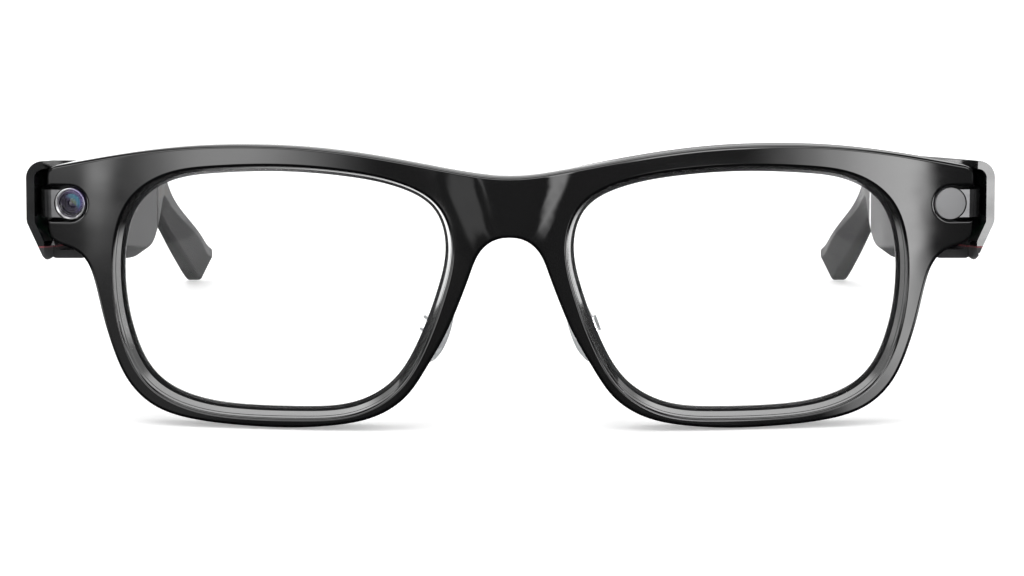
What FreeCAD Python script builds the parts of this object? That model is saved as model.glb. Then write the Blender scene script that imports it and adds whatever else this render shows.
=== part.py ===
"""Smart glasses: a two-shell front with a camera and an indicator, and two hollow folding temples.

Frame: +X is the wearer's left, +Y runs back along the temples and +Z is up. The origin is the middle
of the bottom of the overall box, on the surface that the rims and the temple tips stand on.
Millimetres and degrees throughout.
"""
import FreeCAD, Part
import math
import os

from FreeCAD import Placement, Rotation, Vector

doc = FreeCAD.newDocument("smart_glasses")

# ---------------------------------------------------------------- driving dimensions
DRIVING = {
    # front
    "front_lean": 2.3,            # the front leans back from the vertical
    "front_y": -74.39,            # where the middle of the front face is
    "front_z": 22.1,              # height of the lens centre line
    "wrap_radius": 340.0,         # wrap of the front, about an upright line
    "front_shell_depth": 3.6,
    "rear_shell_depth": 2.0,
    "edge_round": 0.8,
    "opening_round": 0.45,
    "face_opening": 1.1,          # how much wider the front opening is than the rear lip
    "lens_margin": 1.45,          # how far the lens edge reaches past the rear lip
    "lens_groove": 1.55,
    "lens_thickness": 1.3,
    "lip_depth": 0.6,
    # camera and indicator
    "disc_half_span": 69.8,
    "disc_height": 13.3,
    "disc_radius": 2.5,
    "slot_radius": 2.72,
    "camera_depth": 2.5,
    "indicator_thickness": 1.3,
    # hinge
    "hinge_half_span": 68.3,
    "hinge_depth": 20.0,
    "hinge_height": 19.34,
    "strap_height": 4.4,
    "strap_outer": 74.9,
    "knuckle_radius": 1.7,
    "pin_radius": 0.7,
    "pin_clearance": 0.05,
    # temples
    "temple_slope": 5.7,          # the temples run down towards their tips
    "temple_wall": 1.3,
    "temple_joint": 62.0,         # where the hollow shell ends and the tip begins
    "cavity_end": 59.5,
    "cup_step": -5.0,
    "cup_side": 5.6,
    "window_end": 4.0,
    "seam_rise": 1.8,
    "seam_gap": 0.25,
    # nose pads
    "pad_length": 12.5,
    "pad_width": 6.5,
    "pad_thickness": 2.4,
    "pad_pin_radius": 0.36,
}

sheet = doc.addObject("Spreadsheet::Sheet", "Dims")
for row, (alias, value) in enumerate(DRIVING.items(), start=1):
    sheet.set(f"A{row}", alias)
    sheet.set(f"B{row}", str(value))
    sheet.setAlias(f"B{row}", alias)
doc.recompute()


def dim(alias):
    """One driving dimension, read back from the sheet."""
    return float(getattr(sheet, alias))


def bind(obj, **expressions):
    """Tie properties of an object to the sheet; a bare word is a cell's alias."""
    for prop, expression in expressions.items():
        text = expression if "Dims." in expression else f"Dims.{expression}"
        obj.setExpression(prop, text)
    return obj


# ---------------------------------------------------------------- frames of reference
def tilt(degrees):
    return Rotation(Vector(1, 0, 0), degrees)


FRONT = Placement(Vector(0, dim("front_y"), dim("front_z")), tilt(-dim("front_lean")))


def temple_frame(side):
    """The hinge axis is this frame's Z, and its Y runs back along the temple."""
    axis_point = Vector(side * dim("hinge_half_span"), dim("hinge_depth"), dim("hinge_height"))
    return Placement(FRONT.multVec(axis_point), tilt(-dim("temple_slope")))


def named(side):
    return "left" if side > 0 else "right"


def place(obj, frame, offset=None):
    """Put an object in one of the frames, after its own offset in that frame."""
    obj.Placement = frame.multiply(offset) if offset else frame
    return obj


# ---------------------------------------------------------------- small building blocks
nodes = []


def node(obj, label):
    """Name a finished sub-part; its label is also its file's name."""
    obj.Label = label
    nodes.append(obj)
    return obj


def box(low, high, frame):
    solid = doc.addObject("Part::Box", "Box")
    solid.Length = high[0] - low[0]
    solid.Width = high[1] - low[1]
    solid.Height = high[2] - low[2]
    return place(solid, frame, Placement(Vector(*low), Rotation()))


def side_box(side, low, high, frame):
    """A box given for the left side; on the right it is mirrored in X."""
    if side < 0:
        low, high = (-high[0], low[1], low[2]), (-low[0], high[1], high[2])
    return box(low, high, frame)


def rod(base, direction, radius, length, frame):
    solid = doc.addObject("Part::Cylinder", "Rod")
    solid.Radius = radius
    solid.Height = length
    turn = Rotation(Vector(0, 0, 1), Vector(*direction))
    return place(solid, frame, Placement(Vector(*base), turn))


def cut(base, *tools):
    solid = base
    for tool in tools:
        result = doc.addObject("Part::Cut", "Cut")
        result.Base = solid
        result.Tool = tool
        solid = result
    return solid


def common(first, second):
    solid = doc.addObject("Part::Common", "Common")
    solid.Base = first
    solid.Tool = second
    return solid


def fuse(*parts):
    solid = doc.addObject("Part::MultiFuse", "Fuse")
    solid.Shapes = list(parts)
    return solid


def group(*parts):
    """Several identical loose pieces that share one node."""
    solid = doc.addObject("Part::Compound", "Group")
    solid.Links = list(parts)
    return solid


def sketch_in(frame, geometry, offset=None):
    """A sketch in the XZ plane of a frame; its normal points to -Y."""
    sketch = doc.addObject("Sketcher::SketchObject", "Sketch")
    upright = Placement(Vector(0, 0, 0), Rotation(Vector(1, 0, 0), 90))
    place(sketch, frame, offset.multiply(upright) if offset else upright)
    sketch.addGeometry(geometry, False)
    return sketch


def flat_sketch(frame, geometry, height=0.0):
    """A sketch in the XY plane of a frame."""
    sketch = doc.addObject("Sketcher::SketchObject", "Sketch")
    place(sketch, frame, Placement(Vector(0, 0, height), Rotation()))
    sketch.addGeometry(geometry, False)
    return sketch


def extrude(sketch, direction, forward, backward=0.0):
    solid = doc.addObject("Part::Extrusion", "Extrusion")
    solid.Base = sketch
    solid.DirMode = "Custom"
    solid.Dir = direction
    solid.LengthFwd = forward
    solid.LengthRev = backward
    solid.Solid = True
    return solid


def rounded_polygon(points, radii):
    """Lines and corner arcs of a closed polygon in a sketch's own plane."""
    corners = []
    count = len(points)
    for index in range(count):
        before = Vector(*points[index - 1])
        corner = Vector(*points[index])
        after = Vector(*points[(index + 1) % count])
        back = (before - corner).normalize()
        ahead = (after - corner).normalize()
        half = back.getAngle(ahead) / 2
        reach = radii[index] / math.tan(half)
        inward = (back + ahead).normalize()
        middle = corner + inward * (radii[index] / math.sin(half) - radii[index])
        corners.append((corner + back * reach, middle, corner + ahead * reach))
    geometry = []
    for index in range(count):
        start, middle, end = corners[index]
        following = corners[(index + 1) % count][0]
        geometry.append(Part.Arc(start, middle, end))
        geometry.append(Part.LineSegment(end, following))
    return geometry


def spline(points):
    """A smooth open curve through points."""
    curve = Part.BSplineCurve()
    curve.interpolate(Points=[Vector(*point) for point in points])
    return curve


def loop_spline(points, growth=0.0):
    """A smooth closed curve through points, or through the same points moved outward."""
    curve = Part.BSplineCurve()
    vectors = [Vector(*point) for point in points]
    curve.interpolate(Points=vectors, PeriodicFlag=True)
    if not growth:
        return curve
    middle = sum(vectors, Vector()) / len(vectors)
    moved = []
    for vector in vectors:
        along = curve.tangent(curve.parameter(vector))[0]
        outward = Vector(along.y, -along.x, 0)
        if outward.dot(vector - middle) < 0:
            outward = outward * -1
        moved.append(vector + outward * growth)
    return loop_spline([(vector.x, vector.y) for vector in moved])


# ---------------------------------------------------------------- outlines of the front, left half
TOP_LINE = [(0, 18.05), (8, 18.9), (16, 20.4), (25, 21.85), (33, 22.65), (41, 22.9),
            (50, 22.6), (60, 21.45), (72.0, 19.3)]
EAR_CORNER = (73.15, 18.75)
EAR_TOP = (73.6, 17.7)
EAR_BOTTOM = (73.6, 9.3)
LOWER_LINE = [(73.6, 9.3), (72.9, 7.5), (71.2, 6.6), (69.0, 5.8), (67.2, 4.0), (66.1, 1.2),
              (64.9, -4.0), (63.2, -9.8), (60.6, -15.2), (56.6, -18.8), (50.5, -20.75),
              (43.0, -21.55), (35.0, -21.8), (27.5, -21.3), (21.1, -19.8), (16.4, -16.7),
              (12.9, -11.7), (10.2, -7.0), (7.95, -1.9), (6.1, 3.0), (4.6, 6.3), (2.5, 8.1),
              (0, 8.6)]
LENS_LINE = [(61.7, 1.5), (61.3, 7.5), (59.2, 13.0), (54.4, 16.6), (46.5, 18.1), (36.0, 18.45),
             (26.0, 17.75), (17.5, 16.0), (12.0, 12.7), (10.15, 7.0), (11.4, 0.0), (14.6, -8.5),
             (18.7, -14.8), (24.6, -18.2), (33.0, -19.1), (42.4, -18.95), (50.7, -17.7),
             (56.6, -14.5), (60.2, -8.0)]


def mirrored(points, side):
    return [(side * x, y) for x, y in points]


def both_halves(points):
    """A left half whose last or first point is on the midline, continued over to the right."""
    if points[0][0] == 0:
        points = list(reversed(points))
    return points + [(-x, z) for x, z in reversed(points[:-1])]


def outline_geometry():
    """The whole outer outline: brow, rounded ears, rims and the bridge's arch."""
    pieces = [spline(both_halves(TOP_LINE)), spline(both_halves(LOWER_LINE))]
    for side in (1, -1):
        corner_start = Vector(side * TOP_LINE[-1][0], TOP_LINE[-1][1])
        corner_end = Vector(side * EAR_TOP[0], EAR_TOP[1])
        corner_middle = Vector(side * EAR_CORNER[0], EAR_CORNER[1])
        pieces.append(Part.Arc(corner_start, corner_middle, corner_end))
        pieces.append(Part.LineSegment(corner_end, Vector(side * EAR_BOTTOM[0], EAR_BOTTOM[1])))
    return pieces


def wrapped_layer(start_depth, end_depth):
    """The layer of the wrapped front between two depths behind its face."""
    outer = doc.addObject("Part::Cylinder", "LayerOuter")
    inner = doc.addObject("Part::Cylinder", "LayerInner")
    for solid, depth in ((outer, start_depth), (inner, end_depth)):
        bind(solid, Radius=f"Dims.wrap_radius - {depth}")
        solid.Height = 60
        place(solid, FRONT, Placement(Vector(0, dim("wrap_radius"), -30), Rotation()))
    return cut(outer, inner)


BACK = FRONT.Rotation.multVec(Vector(0, 1, 0))


def prism(geometry):
    """A prism through the whole depth of the front."""
    return extrude(sketch_in(FRONT, geometry), BACK, 22, 3)


def lens_prism(side, growth=0.0):
    """The prism of a lens opening, grown outward from the rear lip's line."""
    return prism([loop_spline(mirrored(LENS_LINE, side), growth)])


def round_edges(solid, depth, radii):
    """Round the brow edge and the lens openings' edges that lie at a depth behind the face."""
    doc.recompute()
    chosen = []
    for number, edge in enumerate(solid.Shape.Edges, start=1):
        values = (edge.FirstParameter, (edge.FirstParameter + edge.LastParameter) / 2)
        samples = [FRONT.inverse().multVec(edge.valueAt(value)) for value in values]
        if any(abs(point.y - sagitta_at(point.x, depth)) > 0.02 for point in samples):
            continue
        if edge.Closed:
            chosen.append((number, radii["opening"], radii["opening"]))
        elif samples[1].z > 17 and abs(samples[1].x) < 1 and "brow" in radii:
            chosen.append((number, radii["brow"], radii["brow"]))
    rounded = doc.addObject("Part::Fillet", "Rounded")
    rounded.Base = solid
    rounded.Edges = chosen
    return rounded


def sagitta_at(x, depth):
    """How far back the layer at a depth lies, at a distance from the middle."""
    radius = dim("wrap_radius")
    return radius - math.sqrt((radius - depth) ** 2 - x * x)


FRONT_DEPTH = dim("front_shell_depth") + dim("rear_shell_depth")


def disc_frame(side):
    """On the face at the camera's or the indicator's centre, with Y straight into the front."""
    half_span = dim("disc_half_span")
    wrap_angle = math.degrees(math.asin(half_span / dim("wrap_radius")))
    centre = Vector(side * half_span, sagitta_at(half_span, 0.0), dim("disc_height"))
    return FRONT.multiply(Placement(centre, Rotation(Vector(0, 0, 1), side * wrap_angle)))


def slot_prism(side):
    """The slot from the camera or the indicator out through the ear, where the hinge strap lies."""
    radius = dim("slot_radius")
    end = side * 10.0
    geometry = [
        Part.LineSegment(Vector(0, radius), Vector(end, radius)),
        Part.LineSegment(Vector(end, radius), Vector(end, -radius)),
        Part.LineSegment(Vector(end, -radius), Vector(0, -radius)),
        Part.Arc(Vector(0, -radius), Vector(-side * radius, 0), Vector(0, radius)),
    ]
    frame = disc_frame(side)
    inward = frame.Rotation.multVec(Vector(0, 1, 0))
    return extrude(sketch_in(frame, geometry), inward, 6, 2)


def cable_prism(slack):
    """The flat cable's band below the brow's top line, from ear to ear."""
    upper_drop, lower_drop = 1.35 - slack, 2.55 + slack
    reach = [point for point in TOP_LINE if point[0] <= 60] + [(66.4 + slack, 20.2)]
    upper = [(-x, z - upper_drop) for x, z in reversed(reach)] + \
            [(x, z - upper_drop) for x, z in reach[1:]]
    lower = [(x, z + upper_drop - lower_drop) for x, z in upper]
    geometry = [
        spline(upper),
        Part.LineSegment(Vector(*upper[-1]), Vector(*lower[-1])),
        spline(lower),
        Part.LineSegment(Vector(*lower[0]), Vector(*upper[0])),
    ]
    return prism(geometry)


def frame_screw_spots():
    """Where screws join the two front shells: three on each side, from behind."""
    spots = []
    for side in (1, -1):
        spots += [(side * 69.8, 13.3), (side * 64.2, 17.2), (side * 6.6, 13.0)]
    return spots


PAD_FOOT = (10.5, -4.6)


def pad_foot(side, length):
    """The round foot of a nose pad's arm, let into the rear lip."""
    start = sagitta_at(PAD_FOOT[0], FRONT_DEPTH - 0.5)
    return rod((side * PAD_FOOT[0], start, PAD_FOOT[1]), (0, 1, 0), 0.8, length, FRONT)


def build_front_shells():
    shell = dim("front_shell_depth")
    front_blank = common(prism(outline_geometry()), wrapped_layer(0.0, shell))
    openings = [lens_prism(side, dim("face_opening")) for side in (1, -1)]
    slots = [slot_prism(side) for side in (1, -1)]
    channel = common(cable_prism(0.1), wrapped_layer(shell - 0.45, shell + 1))
    front = cut(front_blank, *openings, *slots)

    front = round_edges(front, 0.0, {"brow": dim("edge_round"), "opening": dim("opening_round")})
    pilots = [screw(x, z, shell - 2.2, 2.6, 0.5) for x, z in frame_screw_spots() if abs(x) < 69]
    node(cut(front, channel, *pilots), "front_frame")

    rear = common(prism(outline_geometry()), wrapped_layer(shell, FRONT_DEPTH))
    for side in (1, -1):
        groove = common(lens_prism(side, dim("lens_groove")),
                        wrapped_layer(shell - 1, FRONT_DEPTH - dim("lip_depth")))
        rear = cut(rear, lens_prism(side), groove)
    rear = round_edges(rear, FRONT_DEPTH, {"opening": 0.3})
    holes = [screw(x, z, shell - 1, 4, 0.62) for x, z in frame_screw_spots()]
    feet = [pad_foot(side, 3.0) for side in (1, -1)]
    node(cut(rear, *holes, *feet), "rear_frame")


def screw(x, z, depth, length, radius):
    return rod((x, sagitta_at(x, depth), z), (0, 1, 0), radius, length, FRONT)


def build_lenses():
    start = dim("front_shell_depth") + 0.05
    for side in (1, -1):
        layer = wrapped_layer(start, start + dim("lens_thickness"))
        node(common(lens_prism(side, dim("lens_margin")), layer), f"lens_{named(side)}")


def build_flex_cable():
    shell = dim("front_shell_depth")
    node(common(cable_prism(0.0), wrapped_layer(shell - 0.35, shell - 0.15)), "brow_flex_cable")


# ---------------------------------------------------------------- camera, indicator and straps
def disc_rod(side, depth, length, radius_expression):
    """A round piece square to the front face at the camera's or the indicator's place."""
    solid = rod((0, depth, 0), (0, 1, 0), 1, length, disc_frame(side))
    return bind(solid, Radius=radius_expression)


def build_camera():
    """Right-hand end: bezel, stepped barrel, front element, inner lens and sensor board."""
    side = -1
    body = "Dims.disc_radius"
    bezel = cut(disc_rod(side, 0.0, 2.3, body), disc_rod(side, -1, 5, f"{body} - 0.45"))
    node(bezel, "camera_bezel")
    cone = doc.addObject("Part::Cone", "BarrelMouth")
    cone.Radius1 = 1.75
    cone.Radius2 = 0.85
    cone.Height = 1.0
    place(cone, disc_frame(side), Placement(Vector(0, 0.45, 0), tilt(-90)))
    barrel = cut(disc_rod(side, 0.45, 1.85, f"{body} - 0.45"), cone,
                 disc_rod(side, 1.3, 2.0, f"{body} - 1.65"))
    node(barrel, "camera_barrel")
    node(disc_rod(side, 0.05, 0.4, f"{body} - 0.45"), "camera_cover_glass")
    node(disc_rod(side, 1.45, 0.5, f"{body} - 1.65"), "camera_lens")
    node(disc_rod(side, 2.32, 0.2, f"{body} - 0.1"), "camera_sensor_board")


def build_indicator():
    side = 1
    node(disc_rod(side, 0.0, dim("indicator_thickness"), "disc_radius"), "indicator_disc")
    node(disc_rod(side, dim("indicator_thickness") + 0.02, 0.5, "Dims.disc_radius - 0.1"),
         "indicator_led_board")


def strap_profile(side):
    """Top view of the strap: a tongue in the ear, round its corner and back to the hinge."""
    outer = dim("strap_outer")
    shell = dim("front_shell_depth")
    axis_x, axis_y = dim("hinge_half_span"), dim("hinge_depth")
    points = [
        (68.5, sagitta_at(68.5, 0.2)),
        (outer, sagitta_at(72.5, 0.2)),
        (outer, axis_y - 3.2),
        (axis_x + 1.4, axis_y + 1.2),
        (axis_x + 0.2, axis_y - 1.2),
        (outer - 1.2, axis_y - 4.4),
        (outer - 1.2, sagitta_at(73.6, shell - 0.03)),
        (68.5, sagitta_at(68.5, shell - 0.03)),
    ]
    radii = [0.2, 2.4, 2.0, 0.2, 0.2, 0.8, 0.1, 0.2]
    return rounded_polygon([(side * x, y) for x, y in points], radii)


def build_straps():
    for side in (1, -1):
        low = dim("disc_height") - dim("strap_height") / 2
        sketch = flat_sketch(FRONT, strap_profile(side), low)
        up = FRONT.Rotation.multVec(Vector(0, 0, 1))
        plate = bind(extrude(sketch, up, 1), LengthFwd="strap_height")
        frame = temple_frame(side)
        middle = -6.04
        knuckle = rod((0, 0, middle - 2.15), (0, 0, 1), 1, 4.3, frame)
        bind(knuckle, Radius="knuckle_radius")
        bore = bind(rod((0, 0, -12), (0, 0, 1), 1, 12, frame), Radius="pin_radius")
        seat_depth = dim("camera_depth") + 0.05 if side < 0 else dim("indicator_thickness") + 0.55
        seat = disc_rod(side, -1, seat_depth + 1, "Dims.slot_radius - 0.1")
        hole = screw(side * 69.8, 13.3, 2.0, 4, 0.5)
        strap = cut(fuse(plate, knuckle), bore, seat, hole)
        node(strap, f"hinge_strap_{named(side)}")
        node(bind(rod((0, 0, -10.4), (0, 0, 1), 1, 8.6, frame), Radius="pin_radius"),
             f"hinge_pin_{named(side)}")


def build_frame_screws():
    pieces = []
    for x, z in frame_screw_spots():
        tip = 2.62 if abs(x) > 69 else 1.6
        shank = screw(x, z, tip, FRONT_DEPTH - 0.7 - tip, 0.5)
        head = screw(x, z, FRONT_DEPTH - 0.72, 0.5, 0.62)
        pieces.append(fuse(shank, head))
    node(group(*pieces), "frame_screws")


# ---------------------------------------------------------------- nose pads
def pad_frame(side):
    """Pad frame: X along the pad, Y its rocking axis, Z out of its face towards the nose."""
    along = Vector(side * 0.33, 0.12, -0.93).normalize()
    face = Vector(-side * 0.78, 0.56, -0.22)
    face = (face - along * face.dot(along)).normalize()
    across = face.cross(along)
    turn = Rotation(along, across, face, "ZXY")
    return FRONT.multiply(Placement(Vector(side * 12.4, 11.4, -6.8), turn))


def build_nose_pads():
    for side in (1, -1):
        frame = pad_frame(side)
        ellipse = Part.Ellipse(Vector(0, 0, 0), dim("pad_length") / 2, dim("pad_width") / 2)
        cushion = extrude(flat_sketch(frame, [ellipse]), frame.Rotation.multVec(Vector(0, 0, 1)), 1)
        bind(cushion, LengthFwd="pad_thickness")
        doc.recompute()
        rounded = doc.addObject("Part::Fillet", "RoundedPad")
        rounded.Base = cushion
        rims = [number for number, edge in enumerate(cushion.Shape.Edges, start=1) if edge.Closed]
        rounded.Edges = [(number, 1.1, 1.1) for number in rims]
        lug = box((-0.95, -0.7, -1.5), (0.95, 0.7, 0.6), frame)
        pin_hole = rod((0, -2, -0.85), (0, 1, 0), dim("pad_pin_radius") + 0.04, 4, frame)
        node(cut(fuse(rounded, lug), pin_hole), f"nose_pad_{named(side)}")

        outer_end = side * 1.85
        pin = rod((0, -side * 0.75, -0.85), (0, side, 0), 1, abs(outer_end) + 0.75, frame)
        bind(pin, Radius="pad_pin_radius")
        start = FRONT.inverse().multVec(frame.multVec(Vector(0, outer_end * 0.78, -0.85)))
        foot = pad_foot(side, 0.9)
        end = Vector(side * PAD_FOOT[0], sagitta_at(PAD_FOOT[0], FRONT_DEPTH) + 0.2, PAD_FOOT[1])
        reach = end - start
        stem = rod(tuple(start), tuple(reach), 0.45, reach.Length, FRONT)
        node(fuse(pin, stem, foot), f"nose_pad_arm_{named(side)}")


# ---------------------------------------------------------------- temples
# Stations along the left temple: distance back, top, bottom, inner side and outer side.
STATIONS = [
    (-13.0, 0.0, -15.5, -2.0, 8.3),
    (-5.0, 0.0, -15.8, -2.0, 8.3),
    (10.0, 0.0, -16.2, -2.0, 8.3),
    (25.0, 0.0, -17.2, -2.0, 8.1),
    (45.0, 0.0, -18.3, -2.0, 7.6),
    (56.0, 0.0, -17.2, -1.8, 6.9),
    (65.0, -0.2, -13.6, -1.5, 6.3),
    (72.0, -0.8, -11.4, -1.0, 5.7),
    (80.0, -2.6, -11.0, -0.3, 5.2),
    (88.0, -5.5, -12.4, 0.2, 4.7),
    (96.0, -8.8, -15.0, 0.1, 4.3),
    (110.0, -14.0, -20.3, -1.4, 3.9),
    (120.0, -17.4, -24.0, -2.3, 3.6),
    (131.0, -20.7, -27.7, -3.0, 3.2),
]


SLIM_RUN = 46.0                   # the section turns from a housing's into a tip's over this run


def station_at(back):
    """The station's sizes at any distance back, between the two nearest listed ones."""
    for first, second in zip(STATIONS, STATIONS[1:]):
        if first[0] <= back <= second[0]:
            share = (back - first[0]) / (second[0] - first[0])
            return [a + share * (b - a) for a, b in zip(first, second)]
    return list(STATIONS[-1])


def section(station, side, inset=0.0):
    """Corners and radii of a temple's cross-section, taken in by a wall thickness."""
    back, top, bottom, inner, outer = station
    slim = min(1.0, max(0.0, (back - dim("temple_joint")) / SLIM_RUN))
    height, width = top - bottom, outer - inner
    slant = inset * 0.55
    points = [
        (inner + inset, top - inset),
        (outer - inset, top - inset),
        (outer - inset, top - 0.62 * height),
        (outer - (0.26 - 0.16 * slim) * width - slant, bottom + inset),
        (inner + (0.27 + 0.14 * slim) * width + slant, bottom + inset),
        (inner + inset, bottom + (0.10 + 0.62 * slim) * height + slant),
    ]
    radii = [0.8, 2.7 - 1.6 * slim, 2.0 - 1.2 * slim, 0.9, 0.9, 0.8]
    if inset:
        radii = [0.3, 2.7 - inset, 1.0, 0.3, 0.3, 0.3]
    return [(side * x, z) for x, z in points], radii


def loft(frame, sections):
    """A smooth solid through sections given as (distance back, corners, radii)."""
    solid = doc.addObject("Part::Loft", "Loft")
    sketches = []
    for back, points, radii in sections:
        geometry = rounded_polygon(points, radii)
        offset = Placement(Vector(0, back, 0), Rotation())
        sketches.append(sketch_in(frame, geometry, offset))
    solid.Sections = sketches
    solid.Solid = True
    solid.Ruled = False
    return solid


def temple_envelope(side, frame):
    return loft(frame, [(s[0], *section(s, side)) for s in STATIONS])


def temple_cavity(side, frame):
    wall = dim("temple_wall")
    last = station_at(dim("cavity_end"))
    inside = [s for s in STATIONS if s[0] < last[0]] + [last]
    first = list(STATIONS[0])
    first[0] -= 1.0
    inside[0] = first
    return loft(frame, [(s[0], *section(s, side, wall)) for s in inside])


def seam_band(side, frame, low, high):
    """A band across the temple between two heights above its bottom edge."""
    sections = []
    for station in STATIONS[:7]:
        bottom = station[2]
        points = [(side * -6, bottom + high), (side * 12, bottom + high),
                  (side * 12, bottom + low), (side * -6, bottom + low)]
        back = station[0] - (1.0 if station is STATIONS[0] else 0.0)
        sections.append((back, points, [0.05] * 4))
    return loft(frame, sections)


def temple_core(side, frame, first, last):
    """Flat metal strip through the middle of the slim part."""
    stops = [first] + [s[0] for s in STATIONS if first < s[0] < last] + [last]
    sections = []
    for back in stops:
        _, top, bottom, inner, outer = station_at(back)
        x, z = side * (inner + outer) / 2, (top + bottom) / 2
        points = [(x - 0.5, z + 1.1), (x + 0.5, z + 1.1), (x + 0.5, z - 1.1), (x - 0.5, z - 1.1)]
        sections.append((back, points, [0.15] * 4))
    return loft(frame, sections)


# Blocks and openings of the left temple, as their lowest and highest corners in its frame.
BATTERY = ((0.2, 12.5, -12.9), (4.3, 41.0, -2.4))
BOARD = ((4.6, 2.6, -12.6), (5.3, 47.0, -2.6))
SPEAKER = ((0.4, 43.0, -15.4), (4.3, 54.0, -11.4))
GRILLE = ((1.3, 45.0, -17.75), (3.9, 52.0, -17.3))
GRILLE_HOLE = ((1.3, 45.0, -19.5), (3.9, 52.0, -16.6))
CHARGE_PLATE = ((-2.15, 20.0, -9.6), (-1.1, 34.0, -5.4))
BUTTON_BASE = ((6.45, 0.0, -9.7), (9.3, 9.0, -5.2))
SCREW_STATIONS = (6.0, 9.5)       # distances back of the hinge leaf's screws
SCREW_LEVEL = -6.0
CORE_RUN = (56.0, 124.0)          # where the metal core starts and ends
KNUCKLES = ((-10.1, -8.35), (-3.75, -2.0))


def build_temple(side):
    frame = temple_frame(side)
    name = named(side)
    joint, wall = dim("temple_joint"), dim("temple_wall")
    envelope = temple_envelope(side, frame)
    cavity = temple_cavity(side, frame)
    seam_low = dim("seam_rise")
    below_seam = seam_band(side, frame, -4.0, seam_low)
    gasket_band = seam_band(side, frame, seam_low, seam_low + dim("seam_gap"))

    hollow_part = common(envelope, side_box(side, (-8, -14, -40), (14, joint, 10), frame))
    step = side_box(side, (-8, -14.5, -40), (dim("cup_side"), dim("cup_step"), 10), frame)
    window = side_box(side, (-8, -14.5, -14.6), (0.2, dim("window_end"), -wall), frame)
    walls = cut(hollow_part, cavity, step, window)

    inner_side = side_box(side, (-8, dim("window_end"), -30), (-2.0 + wall, dim("cavity_end"), -wall), frame)
    core = temple_core(side, frame, *CORE_RUN)
    cover_zone = fuse(below_seam, inner_side)
    lower_zone = fuse(seam_band(side, frame, -4.0, seam_low + dim("seam_gap")), inner_side)
    shell_cuts = [lower_zone, core]
    cover_cuts = [side_box(side, *GRILLE_HOLE, frame)]
    if side > 0:
        shell_cuts.append(rod((4.5, -3.2, -3), (0, 0, 1), 0.95, 5, frame))
        for step_out in range(3):
            x = 6.0 + 0.5 * step_out
            cover_cuts.append(rod((x, -14, -14.75), (0, 1, 0), 0.17, 3.0, frame))
    else:
        low, high = BUTTON_BASE
        gap = 0.08
        shell_cuts.append(side_box(side, (5.9, low[1] - gap, low[2] - gap),
                                   (12, high[1] + gap, high[2] + gap), frame))
        cover_cuts.append(side_box(side, (-4, CHARGE_PLATE[0][1], CHARGE_PLATE[0][2]),
                                   (CHARGE_PLATE[1][0], *CHARGE_PLATE[1][1:]), frame))
    for back in SCREW_STATIONS:
        cover_cuts.append(rod((-side * 3, back, SCREW_LEVEL), (side, 0, 0), 0.62, 3.2, frame))
    node(cut(walls, *shell_cuts), f"temple_shell_{name}")
    node(cut(common(walls, cover_zone), *cover_cuts), f"temple_cover_{name}")
    node(cut(common(walls, gasket_band), inner_side), f"temple_gasket_{name}")

    tip_zone = side_box(side, (-10, joint, -40), (16, 140, 10), frame)
    node(cut(common(envelope, tip_zone), core), f"temple_tip_{name}")
    node(temple_core(side, frame, *CORE_RUN), f"temple_core_{name}")
    build_hinge_leaf(side, frame, name)
    build_electronics(side, frame, name)


def build_hinge_leaf(side, frame, name):
    """The temple's half of the hinge: two knuckles on a plate behind the inner cover."""
    parts = []
    for low, high in KNUCKLES:
        parts.append(bind(rod((0, 0, low), (0, 0, 1), 1, high - low, frame), Radius="knuckle_radius"))
        parts.append(side_box(side, (-0.65, 0.0, low), (0.6, 11.5, high), frame))
    parts.append(side_box(side, (-0.65, 2.3, KNUCKLES[0][0]), (0.6, 11.5, KNUCKLES[1][1]), frame))
    bore = bind(rod((0, 0, -12), (0, 0, 1), 1, 12, frame), Radius="Dims.pin_radius + Dims.pin_clearance")
    holes = [rod((-side * 3, back, SCREW_LEVEL), (side, 0, 0), 0.45, 5, frame) for back in SCREW_STATIONS]
    node(cut(fuse(*parts), bore, *holes), f"temple_hinge_{name}")
    screws = []
    for back in SCREW_STATIONS:
        shank = rod((-side * 1.5, back, SCREW_LEVEL), (side, 0, 0), 0.45, 2.0, frame)
        head = rod((-side * 1.9, back, SCREW_LEVEL), (side, 0, 0), 0.62, 0.5, frame)
        screws.append(fuse(shank, head))
    node(group(*screws), f"hinge_screws_{name}")


def build_electronics(side, frame, name):
    node(side_box(side, *BATTERY, frame), f"battery_{name}")
    node(side_box(side, *BOARD, frame), f"circuit_board_{name}")
    node(side_box(side, *SPEAKER, frame), f"speaker_{name}")
    grille = side_box(side, *GRILLE, frame)
    slots = []
    for number in range(5):
        back = GRILLE[0][1] + 1.0 + 1.2 * number
        slots.append(side_box(side, (1.8, back, -19), (3.4, back + 0.6, -16), frame))
    node(cut(grille, *slots), f"speaker_grille_{name}")
    microphone = side_box(side, (5.32, 16.0, -12.0), (6.0, 19.0, -10.2), frame)
    node(microphone, f"microphone_{name}")


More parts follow.
